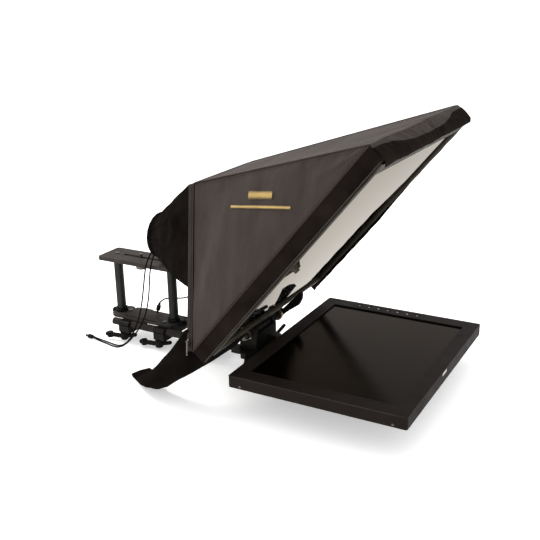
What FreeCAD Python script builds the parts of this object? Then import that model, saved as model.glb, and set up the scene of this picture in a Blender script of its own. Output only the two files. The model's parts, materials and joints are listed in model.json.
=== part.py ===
"""Teleprompter on a 15 mm rod rig: face-up monitor, tilted beam-splitter glass, fabric hood.

Millimetres. +X points at the talent, +Y to the operator's left, +Z up.
The origin is at table level under the middle of the whole rig.
"""
import FreeCAD, Part
import os
from math import cos, pi, radians, sin, tan

V = FreeCAD.Vector
AXIS_X, AXIS_Y, AXIS_Z = V(1, 0, 0), V(0, 1, 0), V(0, 0, 1)
os.makedirs("parts", exist_ok=True)

# ---------------------------------------------------------------- driving dimensions
rod_radius = 7.5
rod_half_spacing = 30.0
rod_height = 40.0            # rod axis above the table
rod_rear_x, rod_front_x = -341.0, 57.0
slide_gap = 0.06             # radial clearance of a bore on a rod

monitor_x = 208.4            # middle of the monitor
monitor_length = 320.4       # along X
monitor_width = 409.6        # along Y
monitor_top = 78.0
monitor_edge = 21.5          # thickness seen at the edge
screen_length, screen_width = 268.0, 348.0
box_rear_x, box_front_x = 107.0, 297.0   # deep electronics housing under the screen
box_half_width = 85.0

hinge_x, hinge_z = 5.0, 87.0
hinge_radius = 5.0

glass_angle = 50.2           # from the horizontal
glass_base = V(19.0, 0, 111.5)           # lower edge of the glass's front face
glass_length = 455.0
glass_half_width = 203.0
glass_thickness = 3.0

frame_half_width = 207.0
frame_top_u = 462.0
top_rail_width = 23.0
hood_half_width = 210.0
cloth = 1.5                  # thickness of the sewn, lined panels
hem_back = -29.0             # hem strip, measured across the glass
hem_fronts = {"left": 9.0, "right": 2.0, "top": 8.5}
hem_low_u, hem_top_u = -25.0, 470.0
hood_rear_x, hood_rear_half_width, hood_rear_z = -76.0, 96.0, 376.0   # narrow rear top corners
zip_width = 17.0
sock_zip_fraction = 0.62     # how far down the rear edge the sock stays zipped on

lens_x, lens_z = -218.0, 236.0
lens_radius = 42.0

post_radius = 9.5
post_xs = {"rear": -343.0, "front": -208.0}
deck_low_z = 48.0            # underside of the riser's lower plate
deck_thickness = 4.5
camera_plate_z = 172.0
camera_plate_thickness = 8.0


# ---------------------------------------------------------------- building helpers
def box(x0, x1, y0, y1, z0, z1):
    return Part.makeBox(x1 - x0, y1 - y0, z1 - z0, V(x0, y0, z0))


def rod(start, end, radius):
    run = end - start
    return Part.makeCylinder(radius, run.Length, start, run)


def prism(points, direction):
    """A flat outline pushed along a direction."""
    return Part.Face(Part.makePolygon(points + [points[0]])).extrude(direction)


def side_prism(outline_xz, y0, y1):
    return prism([V(x, y0, z) for x, z in outline_xz], V(0, y1 - y0, 0))


def plan_prism(outline_xy, z0, z1):
    return prism([V(x, y, z0) for x, y in outline_xy], V(0, 0, z1 - z0))


def fillet_along(shape, axis, radius):
    """Round every straight edge that runs along one axis."""
    edges = []
    for edge in shape.Edges:
        ends = edge.Vertexes
        if len(ends) == 2 and isinstance(edge.Curve, (Part.Line, Part.LineSegment)):
            run = ends[1].Point - ends[0].Point
            if abs(abs(run.normalize().dot(axis)) - 1) < 1e-6:
                edges.append(edge)
    return shape.makeFillet(radius, edges)


def round_edges_inside(shape, radius, low, high):
    """Round the edges whose middle lies inside a box."""
    picked = [e for e in shape.Edges
              if low.x <= e.CenterOfMass.x <= high.x and low.y <= e.CenterOfMass.y <= high.y
              and low.z <= e.CenterOfMass.z <= high.z]
    return shape.makeFillet(radius, picked)


def on_glass(u, y, w):
    """u runs up the glass, y across it, w out of its front face towards the talent."""
    slope = radians(glass_angle)
    return glass_base + V(u * cos(slope) + w * sin(slope), y, u * sin(slope) - w * cos(slope))


def glass_box(u0, u1, y0, y1, w0, w1):
    outline = [on_glass(u0, y0, w0), on_glass(u1, y0, w0), on_glass(u1, y0, w1), on_glass(u0, y0, w1)]
    return prism(outline, V(0, y1 - y0, 0))


def group(solids):
    return Part.makeCompound(solids)


def save(name, shape):
    shape.exportStep("parts/" + name + ".step")


def mirrored(shape):
    return shape.mirror(V(0, 0, 0), AXIS_Y)


def knurled(start, axis, radius, length, teeth):
    """A thumb knob with scalloped grip, its axis along a main direction."""
    knob = Part.makeCylinder(radius, length, start, axis)
    side = AXIS_Z if abs(axis.z) < 0.5 else AXIS_X
    other = axis.cross(side)
    scallop = 2 * pi * radius / teeth * 0.32
    for k in range(teeth):
        turn = 2 * pi * k / teeth
        centre = start + side * (radius * 1.06 * cos(turn)) + other * (radius * 1.06 * sin(turn))
        knob = knob.cut(Part.makeCylinder(scallop, length, centre, axis))
    return knob


def capsule(start, end, radius):
    return rod(start, end, radius).fuse([Part.makeSphere(radius, start), Part.makeSphere(radius, end)])


# ---------------------------------------------------------------- rod rig
def rail_rods():
    return group([rod(V(rod_rear_x, y, rod_height), V(rod_front_x, y, rod_height), rod_radius)
                  for y in (-rod_half_spacing, rod_half_spacing)])


def rod_bores(x0, x1, gap):
    return [rod(V(x0 - 1, y, rod_height), V(x1 + 1, y, rod_height), rod_radius + gap)
            for y in (-rod_half_spacing, rod_half_spacing)]


tripod_x0, tripod_x1 = -163.0, -103.0
tripod_hole_xs = {"quarter": -146.0, "three_eighths": -122.0}
tripod_hole_r = {"quarter": 3.175, "three_eighths": 4.7625}
tripod_hole_depth = 12.0


def tripod_block():
    block = fillet_along(box(tripod_x0, tripod_x1, -44, 44, 0, 51), AXIS_Z, 4)
    block = block.cut(rod_bores(tripod_x0, tripod_x1, 0.02))
    for name, x in tripod_hole_xs.items():
        block = block.cut(rod(V(x, 0, -1), V(x, 0, tripod_hole_depth), tripod_hole_r[name]))
    return block


# ---------------------------------------------------------------- camera riser
clamp_x = {"rear": (-319.0, -294.0), "front": (-230.0, -205.0)}
clamp_low, clamp_half_width = 22.0, 44.0
lever_y = -36.0
lever_arms = [(41.5, 187.0, 0.0, 4.9), (22.0, 30.0, 2.5, 4.2)]   # length, heading, rise, radius


def riser_clamp(name):
    x0, x1 = clamp_x[name]
    block = fillet_along(box(x0, x1, -clamp_half_width, clamp_half_width, clamp_low, deck_low_z), AXIS_X, 5)
    block = block.cut(rod_bores(x0, x1, slide_gap))
    split = box(x0 - 1, x1 + 1, rod_half_spacing + 7, 46, rod_height - 1, rod_height + 1)
    return block.cut([split, mirrored(split)])


def wing_lever_x(name):
    return sum(clamp_x[name]) / 2 - 5


def wing_lever(name):
    """Lever nut under a clamp block: a hub with one long and one short arm."""
    x, top = wing_lever_x(name), clamp_low - 0.3
    hub = Part.makeCylinder(8, 14.5, V(x, lever_y, top - 14.5))
    foot = Part.makeCone(6, 8, 1.5, V(x, lever_y, top - 16))
    middle = V(x, lever_y, top - 9.5)
    arms = []
    for length, heading, rise, radius in lever_arms:
        turn = radians(heading)
        arms.append(capsule(middle, middle + V(length * cos(turn), length * sin(turn), rise), radius))
    (length, heading, _, radius), turn = lever_arms[0], radians(lever_arms[0][1])
    at = middle + V(0.84 * length * cos(turn), 0.84 * length * sin(turn), -5.6)
    swell = Part.makeCylinder(radius + 1.3, 11.2, at)
    return hub.fuse(arms + [foot, swell])


deck_x0, deck_x1, deck_half_width = -355.0, -195.0, 28.0


def riser_base_plate():
    deck = box(deck_x0, deck_x1, -deck_half_width, deck_half_width, deck_low_z, deck_low_z + deck_thickness)
    deck = fillet_along(deck, AXIS_Z, 18)
    notch = box(-331, -324, 20, 29, deck_low_z - 1, deck_low_z + 9)
    slot = box(-318, -236, -23, -19, deck_low_z - 1, deck_low_z + 9)
    return deck.cut([notch, slot])


def riser_post(name):
    x = post_xs[name]
    low = deck_low_z + deck_thickness
    shaft = Part.makeCylinder(post_radius, camera_plate_z - low, V(x, 0, low))
    rings = [Part.makeTorus(post_radius, 0.7, V(x, 0, z)) for z in (low + 14, camera_plate_z - 6)]
    return shaft.cut(rings)


def riser_screws():
    """Button-head screws: two in the camera plate, three in the lower plate, one group."""
    top = camera_plate_z + camera_plate_thickness
    heads = []
    places = [(x, 0, top) for x in post_xs.values()]
    places += [(x, y, deck_low_z + deck_thickness) for x, y in ((-326, 8), (-222, 14), (-222, -14))]
    for x, y, z in places:
        head = Part.makeCylinder(4.2, 1.8, V(x, y, z))
        socket = Part.makeCylinder(1.6, 1.2, V(x, y, z + 0.8))
        heads.append(head.cut(socket))
    return group(heads)


camera_slot = (-322.0, -232.0)
camera_slot_half = 4.2
camera_screw_x = -282.0
camera_thread_radius = 3.175     # 1/4-20


def camera_plate():
    top = camera_plate_z + camera_plate_thickness
    plate = box(deck_x0 - 13.6, deck_x1 + 4, -34, 34, camera_plate_z, top)
    plate = fillet_along(plate, AXIS_Z, 6)
    x0, x1 = camera_slot
    slot = box(x0, x1, -camera_slot_half, camera_slot_half, camera_plate_z - 1, top + 1)
    rounds = [rod(V(x, 0, camera_plate_z - 1), V(x, 0, top + 1), camera_slot_half) for x in camera_slot]
    return plate.cut([slot] + rounds)


def camera_screw_washer():
    disc = Part.makeCylinder(11, 2, V(camera_screw_x, 0, camera_plate_z - 2.1))
    return disc.cut(Part.makeCylinder(3.35, 6, V(camera_screw_x, 0, camera_plate_z - 4)))


def camera_screw():
    low = camera_plate_z - 2.4
    knob = knurled(V(camera_screw_x, 0, low - 13), AXIS_Z, 12, 13, 18)
    plate_top = camera_plate_z + camera_plate_thickness
    shank = Part.makeCylinder(3.0, plate_top - low + 0.1, V(camera_screw_x, 0, low - 0.1))
    thread = Part.makeCylinder(camera_thread_radius, 7.5, V(camera_screw_x, 0, plate_top))
    return knob.fuse([shank, thread])


def post_knob(name):
    """Thumb knob in the end of the lower plate, at the foot of a post."""
    end_x, out = (deck_x0, -1) if name == "rear" else (deck_x1, 1)
    start = V(end_x + out * 0.3, 0, deck_low_z + deck_thickness / 2)
    grip = knurled(start + V(out * 2, 0, 0), V(out, 0, 0), 6.5, 7, 12)
    return grip.fuse(rod(start, start + V(out * 2.2, 0, 0), 2.0))


def post_collars():
    """Round feet that the posts stand in."""
    low = deck_low_z + deck_thickness
    feet = []
    for x in post_xs.values():
        foot = Part.makeCylinder(post_radius + 3, 8, V(x, 0, low))
        feet.append(foot.cut(Part.makeCylinder(post_radius + 0.02, 12, V(x, 0, low - 1))))
    return group(feet)


# ---------------------------------------------------------------- front bracket
tray_top = monitor_top - monitor_edge
tray_thickness = 3.0
tray_low = tray_top - tray_thickness
cheeks = {"near": (-60.0, -55.0), "middle": (14.0, 19.0)}
clamp_half_y = 44.0
block_x0, block_x1 = -24.0, 18.0


def front_clamp_block():
    block = fillet_along(box(block_x0, block_x1, -clamp_half_y, clamp_half_y, 24, tray_low), AXIS_X, 4)
    return block.cut(rod_bores(block_x0, block_x1, slide_gap))


def front_clamp_lever():
    hub = rod(V(0, clamp_half_y + 0.4, rod_height), V(0, clamp_half_y + 11, rod_height), 6.5)
    arm = capsule(V(0, clamp_half_y + 8, rod_height + 1), V(1, 88, rod_height + 9), 3.6)
    return hub.fuse(arm)


def hinge_rod(y0, y1, radius):
    return rod(V(hinge_x, y0, hinge_z), V(hinge_x, y1, hinge_z), radius)


def tilt_bracket():
    """Floor, front web and two cheeks that carry the hinge pin."""
    low = tray_top
    near0, near1 = cheeks["near"]
    middle0, middle1 = cheeks["middle"]
    near_outline = [(-16, low), (20.5, low), (24, 101), (8, 101), (-7, 95), (-11, 84)]
    solid = side_prism(near_outline, near0, near1)
    solid = solid.fuse(side_prism([(-16, low), (20.5, low), (20.5, 80), (16, 87), (-6, 87), (-11, 80)],
                                  middle0, middle1))
    solid = solid.fuse(hinge_rod(middle0, middle1, 12))
    web = box(18.0, 20.5, near0 + 1, middle1, low, 88)
    web = web.cut(box(17, 22, -20, -2, 66, 70))
    floor = box(-16, 20.5, near0 + 1, middle1, low, low + 3)
    solid = solid.fuse([web, floor])
    return solid.cut(hinge_rod(-70, 70, hinge_radius))


pin_near, pin_far = -64.0, 56.0


def hinge_pin():
    return hinge_rod(pin_near, pin_far, hinge_radius)


def tilt_washers():
    """A thin washer under the knob and a deep brass bushing beside the handle."""
    rings = []
    for y0, y1, radius in ((-62.5, -60.0, 7.5), (50.0, 56.0, 11.5)):
        disc = hinge_rod(y0, y1, radius)
        rings.append(disc.cut(hinge_rod(y0 - 1, y1 + 1, hinge_radius + 0.02)))
    return group(rings)


def tilt_knob():
    start = V(hinge_x, pin_near - 0.4, hinge_z)
    grip = knurled(start, V(0, -1, 0), 6.8, 5, 14)
    rings = [rod(start + V(0, -6 - 3 * k, 0), start + V(0, -7.8 - 3 * k, 0), 6.2 - 0.6 * k) for k in range(3)]
    core = rod(start, start + V(0, -15, 0), 3.5)
    return grip.fuse(rings + [core])


def tilt_lever():
    """Flat paddle handle that lies along the front of the frame."""
    y0, y1 = pin_far + 0.4, 70.0
    hub = hinge_rod(y0, y1, 8)
    outline = [(2, 80), (12, 83), (28, 96.5), (47, 110), (53, 122), (54.5, 134), (50.5, 138), (10, 94.5)]
    blade = side_prism(outline, y1 - 8, y1)
    blade = fillet_along(blade, AXIS_Y, 1.5)
    return hub.fuse(blade)


def monitor_tray():
    near = [(62, -97), (290, -97), (290, -135), (42, -135), (24, -112), (9, -79), (block_x0, -79)]
    far = [(block_x0, 19), (30, 19), (52, 60), (62, 135), (290, 135), (290, 97), (72, 97)]
    outline = near + far
    return fillet_along(plan_prism(outline, tray_low, tray_top), AXIS_Z, 3)


def monitor_screws():
    """Pan-head screws: four under the tray, four in the monitor's sides."""
    heads = [Part.makeCylinder(3.6, 2.2, V(x, y, tray_low - 2.2)) for x in (75, 275) for y in (-116, 116)]
    half = monitor_width / 2
    for x in (monitor_x - 137, monitor_x + 137):
        for side in (-1, 1):
            face = V(x, side * half, tray_top + 4.5)
            head = Part.makeCylinder(2.2, 0.7, face, V(0, side, 0))
            cross = box(x - 1.3, x + 1.3, face.y - 2, face.y + 2, face.z - 0.35, face.z + 0.35)
            heads.append(head.cut(cross))
    return group(heads)


# ---------------------------------------------------------------- monitor
def monitor_block(inset, z0, z1, corner):
    hx, hy = monitor_length / 2 - inset, monitor_width / 2 - inset
    return fillet_along(box(monitor_x - hx, monitor_x + hx, -hy, hy, z0, z1), AXIS_Z, corner)


split_z = monitor_top - 9.0
bezel_lip = 2.6
key_count = 7
key_pitch = 20.4
key_y = 194.5
key_first_x = monitor_x - 84.5
key_size = (7.0, 3.6)


def key_place(index):
    return V(key_first_x + key_pitch * index, key_y, 0)


def monitor_bezel():
    shell = monitor_block(0, split_z, monitor_top, 4)
    shell = round_edges_inside(shell, 1.2, V(-999, -999, monitor_top - 0.1), V(999, 999, monitor_top + 0.1))
    shell = shell.cut(monitor_block(2.2, split_z - 1, monitor_top - bezel_lip, 2))
    hx, hy = screen_length / 2, screen_width / 2
    opening = box(monitor_x - hx, monitor_x + hx, -hy, hy, split_z - 1, monitor_top + 1)
    shell = shell.cut(opening)
    for k in range(key_count):
        at = key_place(k)
        gx, gy = key_size[0] / 2 + 0.35, key_size[1] / 2 + 0.35
        shell = shell.cut(box(at.x - gx, at.x + gx, at.y - gy, at.y + gy, monitor_top - 4, monitor_top + 2))
    return shell


def monitor_key(index):
    at = key_place(index)
    gx, gy = key_size[0] / 2, key_size[1] / 2
    cap = box(at.x - gx, at.x + gx, at.y - gy, at.y + gy, monitor_top - 4.5, monitor_top + 0.9)
    return fillet_along(cap, AXIS_Z, 1.2)


def monitor_rear_cover():
    shell = monitor_block(0, tray_top, split_z, 4)
    shell = shell.cut(monitor_block(2.2, tray_top + 2.2, split_z + 1, 2))
    deep = box(box_rear_x, box_front_x, -box_half_width, box_half_width, 0, tray_top + 2.2)
    deep = fillet_along(deep, AXIS_Z, 6)
    hollow = box(box_rear_x + 2.2, box_front_x - 2.2, -box_half_width + 2.2, box_half_width - 2.2,
                 2.4, tray_top + 5)
    shell = shell.fuse(deep).cut(hollow)
    slots = [box(box_front_x - 5, box_front_x + 5, -60 + 12 * k, -54 + 12 * k, 30, 46) for k in range(11)]
    return shell.cut(slots)


def lcd_panel():
    return monitor_block(14, split_z - 4, monitor_top - bezel_lip - 0.2, 1).cut(
        box(-999, 999, 181, 999, 0, 200)).cut(box(-999, 999, -999, -181, 0, 200))


def monitor_boards():
    """Scaler board and power board side by side in the deep housing."""
    boards = []
    for y0, y1, tall in ((-72, 10, 14), (18, 72, 24)):
        board = box(120, 280, y0, y1, 9, 10.6)
        parts = [box(135 + 38 * k, 155 + 38 * k, y0 + 8, y0 + 30, 10.6, 10.6 + tall - 3 * k) for k in range(3)]
        boards.append(board.fuse(parts))
    return group(boards)


def monitor_sockets():
    """Two coaxial video sockets, a VGA socket and the power jack, on the housing's rear wall."""
    x = box_rear_x
    sockets = []
    for y in (-60, -36):
        barrel = rod(V(x, y, 34), V(x - 12, y, 34), 4.8)
        sockets.append(barrel.cut(rod(V(x - 3, y, 34), V(x - 13, y, 34), 3.4)))
    sockets.append(box(x - 6, x, -14, 17, 28, 39))
    jack = rod(V(x, 46, 34), V(x - 8, 46, 34), 5.5)
    sockets.append(jack.cut(rod(V(x - 2, 46, 34), V(x - 9, 46, 34), 2.8)))
    return group(sockets)


# ---------------------------------------------------------------- glass frame
def frame_foot():
    barrel = hinge_rod(cheeks["near"][1] + 0.6, 49.4, 8.5)
    plate = glass_box(-27, 0, -46, 46, -8, 4)
    middle0, middle1 = cheeks["middle"]
    solid = barrel.fuse(plate).cut(hinge_rod(middle0 - 0.6, middle1 + 0.6, 13))
    return solid.cut(hinge_rod(-60, 60, hinge_radius + 0.05))


def frame_rail(side):
    rail = glass_box(0, frame_top_u, glass_half_width - 6, frame_half_width, -8, 4)
    rail = rail.cut(glass_box(9, frame_top_u + 1, 0, glass_half_width, -glass_thickness, 0))
    return rail if side == "left" else mirrored(rail)


def frame_bottom_rail():
    inner = glass_half_width - 6
    rail = glass_box(0, 12, -inner, inner, -8, 4)
    return rail.cut(glass_box(5, 13, -inner - 1, inner + 1, -glass_thickness, 0))


def frame_top_rail():
    inner = glass_half_width - 6
    rail = glass_box(frame_top_u - top_rail_width, frame_top_u, -inner, inner, -8, 4)
    return rail.cut(glass_box(0, frame_top_u - 5, -inner - 1, inner + 1, -glass_thickness, 0))


def beamsplitter_glass():
    low = (frame_top_u - glass_length) / 2 + 5.5
    half = glass_half_width - 0.4
    return glass_box(low, low + glass_length - 14, -half, half, -glass_thickness + 0.15, -0.15)


clip_u = 234.0
clip_pivot_y = 198.0


def glass_clip():
    """Turning clip on the near rail, drawn on the far side and mirrored over."""
    foot = glass_box(clip_u - 5, clip_u + 5, 190, 204, 4.3, 6.8)
    centre = on_glass(clip_u, clip_pivot_y, 6.8)
    out = on_glass(clip_u, clip_pivot_y, 7.8) - centre
    grip = Part.makeCylinder(5, 7, centre, out)
    return mirrored(foot.fuse(grip))


# ---------------------------------------------------------------- hood
def hood_corner(name, side=1):
    """Corners of one side panel: rear top, front top and low, on the outer face."""
    if name == "rear":
        return V(hood_rear_x, side * hood_rear_half_width, hood_rear_z)
    return on_glass(hem_top_u if name == "top" else hem_low_u, side * hood_half_width, hem_back)


def rear_direction():
    """In the left side panel's plane, square to its rear edge and pointing away from the glass."""
    rear, top, low = hood_corner("rear"), hood_corner("top"), hood_corner("low")
    along = (low - rear).normalize()
    forward = top - rear
    return (along * forward.dot(along) - forward).normalize()


def side_normal():
    rear, top, low = hood_corner("rear"), hood_corner("top"), hood_corner("low")
    normal = (top - rear).cross(low - rear).normalize()
    return normal if normal.y < 0 else normal * -1


def hood_side(side):
    panel = prism([hood_corner(name) for name in ("rear", "top", "low")], side_normal() * cloth)
    return panel if side == "left" else mirrored(panel)


def hood_top():
    rear, front = hood_corner("rear"), hood_corner("top")
    run = front - rear
    down = V(run.z, 0, -run.x).normalize() * cloth
    inset = V(0, 2 * cloth, 0)
    outline = [rear - inset, front - inset, V(front.x, -front.y, front.z) + inset,
               V(rear.x, -rear.y, rear.z) + inset]
    return prism(outline, down)


def hood_hem():
    inner = hood_half_width - cloth
    left, right = [glass_box(hem_low_u, hem_top_u, inner, hood_half_width, hem_back, hem_fronts[side])
                   for side in ("left", "right")]
    top = glass_box(hem_top_u - cloth, hem_top_u, -inner, inner, hem_back, hem_fronts["top"])
    panels = [hood_side("left"), hood_side("right"), hood_top()]
    return group([strip.cut(panels) for strip in (left, mirrored(right), top)])


def rear_edge(fraction, out=0.0):
    """A point on the left rear edge, from its top (0) to its foot (1)."""
    rear, low = hood_corner("rear"), hood_corner("low")
    return rear + (low - rear) * fraction + rear_direction() * out


def zip_tapes():
    """The rear edge strips of both sides, which carry the zips."""
    outline = [rear_edge(0), rear_edge(1), rear_edge(1, zip_width), rear_edge(0, zip_width)]
    strip = prism(outline, side_normal() * cloth)
    return group([strip, mirrored(strip)])


def zip_frame(fraction):
    """Place, downward direction and outward normal on the right-hand zip."""
    place = rear_edge(fraction, zip_width * 0.45)
    down = rear_edge(1) - rear_edge(0)
    outward = side_normal() * -1
    place, down, outward = [V(v.x, -v.y, v.z) for v in (place, down, outward)]
    return place, down.normalize(), outward.normalize()


slider_fraction = 0.95


def zip_plate(width, length, depth, lift, shift):
    """A small plate lying on the right-hand zip, shifted along it."""
    place, down, normal = zip_frame(slider_fraction)
    across = down.cross(normal)
    start = place + normal * lift + down * shift
    corners = [start + across * (width / 2) * i + down * length * j
               for i, j in ((-1, 0), (1, 0), (1, 1), (-1, 1))]
    return prism(corners, normal * depth)


pull_shift, pull_lift = -1.5, 4.9      # the pull's pin, along and above the zip


def zip_pin(half_length, radius):
    """A round bar across the zip, on the axis that the pull swings about."""
    place, down, normal = zip_frame(slider_fraction)
    centre = place + down * pull_shift + normal * pull_lift
    across = down.cross(normal)
    return rod(centre - across * half_length, centre + across * half_length, radius)


def zipper_slider():
    """Slider body with two ears and the pin between them."""
    place, down, normal = zip_frame(slider_fraction)
    across = down.cross(normal)
    body = zip_plate(5.6, 12.0, 3.0, 0.5, -6.0)
    ear = zip_plate(0.9, 3.0, 3.0, 3.4, pull_shift - 1.5)
    ears = [ear.translated(across * shift) for shift in (-2.35, 2.35)]
    return body.fuse(ears + [zip_pin(2.8, 0.6)])


def zipper_pull():
    place, down, normal = zip_frame(slider_fraction)
    tab = zip_plate(3.6, 24.0, 1.4, pull_lift - 0.7, pull_shift)
    eye = place + down * 19
    tab = tab.fuse(zip_pin(1.8, 1.3)).cut(zip_pin(3, 0.7))
    return tab.cut(rod(eye, eye + normal * 8, 1.2))


sock_steps = {"top": 5, "side": 3}


def ring_points(shrink):
    """Matching loops: the zipped outline at the hood's rear, and the round lens opening."""
    top, low = rear_edge(0, zip_width), rear_edge(sock_zip_fraction, zip_width)
    lean = (low.x - top.x) / (low.z - top.z)
    z1, z0 = top.z - shrink, low.z + shrink
    y1, y0 = top.y - shrink, low.y - shrink
    corners = [(y1, z1), (-y1, z1), (-y0, z0), (y0, z0)]
    steps = [sock_steps["top"], sock_steps["side"]] * 2
    outline = []
    for k, count in enumerate(steps):
        (ya, za), (yb, zb) = corners[k], corners[(k + 1) % 4]
        for j in range(count):
            y, z = ya + (yb - ya) * j / count, za + (zb - za) * j / count
            outline.append(V(top.x + lean * (z - top.z), y, z))
    total = len(outline)
    radius = lens_radius + cloth - shrink
    first = radians(90 - 360.0 / total * sock_steps["top"] / 2)
    turns = [first + 2 * pi * j / total for j in range(total)]
    circle = [V(lens_x, radius * cos(t), lens_z + radius * sin(t)) for t in turns]
    return outline, circle


def rear_sock():
    shells = []
    for shrink in (0.0, cloth):
        loops = [Part.makePolygon(loop + [loop[0]]) for loop in ring_points(shrink)]
        shells.append(Part.makeLoft(loops, True, True))
    shell = shells[0].cut(shells[1])
    low = rear_edge(sock_zip_fraction, zip_width)
    below = side_prism([(low.x + 60, low.z + 4), (lens_x - 5, lens_z - 18), (lens_x - 5, 100), (low.x + 60, 100)],
                       -400, 400)
    return shell.cut(below)


def sock_collar():
    x0, x1 = lens_x - 12, lens_x
    outer = rod(V(x0, 0, lens_z), V(x1, 0, lens_z), lens_radius + 4)
    return outer.cut(rod(V(x0 - 1, 0, lens_z), V(x1 + 1, 0, lens_z), lens_radius))


def lower_flap():
    """Loose cloth from the hood's lower near corner and the bottom rail down to the table."""
    hood, rail, rail_end = V(-40, -188, 141), V(13, -183, 101), V(8, -130, 86)
    near, tip = V(-121, -179, 1.6), V(-199, -159, 1.6)
    thickness = V(-0.75, 1.05, 0.75)
    patches = [prism(list(corners), thickness)
               for corners in ((hood, near, tip), (hood, rail, near), (rail, rail_end, near))]
    return patches[0].fuse(patches[1:])


# ---------------------------------------------------------------- cords
cord_radius = 1.5
routes = {
    "sock_cord_a": [
        (-225, -38.4, 210.5), (-229, -44.5, 199), (-234, -47.5, 184), (-238, -48.5, 163), (-242, -50, 136), (-247, -51, 106),
        (-255, -52, 76), (-266, -54, 47), (-279, -57, 22), (-292, -60, 7.5), (-306, -62, 1.8),
        (-324, -61, 1.7), (-342, -57, 1.7), (-360, -54.5, 1.7), (-375.5, -54.4, 3.7)],
    "sock_cord_b": [
        (-224, -32.2, 203.1), (-225.5, -37.5, 193), (-228, -41, 178), (-230, -43.5, 158), (-231, -46, 132), (-235, -48, 103),
        (-243, -50, 74), (-256, -54, 48), (-272, -59, 26), (-287, -65, 9.5), (-301, -69, 2.0),
        (-320, -69, 1.7), (-339, -64, 1.7), (-358, -60.5, 1.7), (-375.5, -57.7, 3.7)],
    "tether_cord": [
        (-191, 22, 176), (-181, 23, 175.5), (-170, 25, 168), (-163, 27, 153), (-162, 27.5, 135),
        (-168, 26, 117), (-180, 22.5, 104), (-196, 18, 98.5), (-212, 14.8, 97), (-228, 14, 94.5),
        (-243, 14.6, 90), (-253.6, 15.6, 80)],
}


def route_points(name):
    return [V(*p) for p in routes[name]]


def cord(name):
    """Straight runs joined by tangent arcs, as large as the runs beside them allow."""
    points = route_points(name)
    edges, radii = [], []
    start = points[0]
    for before, corner, after in zip(points, points[1:], points[2:]):
        into, out = (corner - before), (after - corner)
        shorter = min(into.Length, out.Length)
        into.normalize()
        out.normalize()
        turn = into.getAngle(out)
        radius = 0.45 * shorter / tan(turn / 2)
        radii.append(radius)
        reach = 0.45 * shorter
        first, last = corner - into * reach, corner + out * reach
        bisector = (out - into).normalize()
        middle = corner + bisector * (radius / cos(turn / 2) - radius)
        edges.append(Part.LineSegment(start, first).toShape())
        edges.append(Part.Arc(first, middle, last).toShape())
        start = last
    edges.append(Part.LineSegment(start, points[-1]).toShape())
    path = Part.Wire(edges)
    profile = Part.Wire(Part.makeCircle(cord_radius, points[0], points[1] - points[0]))
    tube = path.makePipeShell([profile], True, False)
    expected = pi * cord_radius ** 2 * path.Length
    print(name, "length", round(path.Length, 1), "smallest radius", round(min(radii), 1),
          "volume ratio", round(tube.Volume / expected, 3))
    return tube


def cord_lock(centre, direction):
    """Barrel cord lock with its spring plunger and the stopper knot behind it."""
    direction = V(direction)
    direction.normalize()
    barrel = capsule(centre, centre + direction * 7, 4.6)
    plunger = rod(centre - direction * 8.5, centre, 2.6)
    knot = Part.makeSphere(2.6, centre + direction * 14.5)
    return group([barrel.fuse(plunger), knot])


# ---------------------------------------------------------------- write the nodes
def main():
    save("rail_rods", rail_rods())
    save("tripod_block", tripod_block())
    for name in ("rear", "front"):
        save("riser_clamp_" + name, riser_clamp(name))
        save("wing_lever_" + name, wing_lever(name))
        save("riser_post_" + name, riser_post(name))
        save("post_knob_" + name, post_knob(name))
    save("post_collars", post_collars())
    save("riser_base_plate", riser_base_plate())
    save("riser_screws", riser_screws())
    save("camera_plate", camera_plate())
    save("camera_screw_washer", camera_screw_washer())
    save("camera_screw", camera_screw())

    save("front_clamp_block", front_clamp_block())
    save("front_clamp_lever", front_clamp_lever())
    save("tilt_bracket", tilt_bracket())
    save("hinge_pin", hinge_pin())
    save("tilt_washers", tilt_washers())
    save("tilt_knob", tilt_knob())
    save("tilt_lever", tilt_lever())
    save("monitor_tray", monitor_tray())
    save("monitor_screws", monitor_screws())

    save("monitor_bezel", monitor_bezel())
    save("monitor_rear_cover", monitor_rear_cover())
    save("lcd_panel", lcd_panel())
    save("monitor_boards", monitor_boards())
    save("monitor_sockets", monitor_sockets())
    for k in range(key_count):
        save("monitor_key_" + str(k + 1), monitor_key(k))

    save("frame_foot", frame_foot())
    save("frame_bottom_rail", frame_bottom_rail())
    save("frame_top_rail", frame_top_rail())
    save("beamsplitter_glass", beamsplitter_glass())
    save("glass_clip", glass_clip())
    for side in ("left", "right"):
        save("frame_rail_" + side, frame_rail(side))
        save("hood_side_" + side, hood_side(side))
    save("hood_top", hood_top())
    save("hood_hem", hood_hem())
    save("zip_tapes", zip_tapes())
    save("zipper_slider", zipper_slider())
    save("zipper_pull", zipper_pull())
    save("rear_sock", rear_sock())
    save("sock_collar", sock_collar())
    save("lower_flap", lower_flap())

    for name in routes:
        save(name, cord(name))
    save("cord_lock_sock", cord_lock(V(-384, -56, 4.6), (-1, 0.05, 0)))
    save("cord_lock_tether", cord_lock(V(-257.2, 15.8, 70.5), (-0.35, 0.03, -1)))


main()
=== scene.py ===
"""Looks of the teleprompter: sewn hood, velvet sock, cords, zips, monitor and rod rig.

Metres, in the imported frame: +X towards the talent, +Y to the operator's left, +Z up.
Places are read from the CAD nodes' own corners.
"""
import json

import bpy
from math import ceil, cos, exp, pi, radians, sin, tanh
from mathutils import Matrix, Vector, noise
from mathutils.kdtree import KDTree


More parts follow.
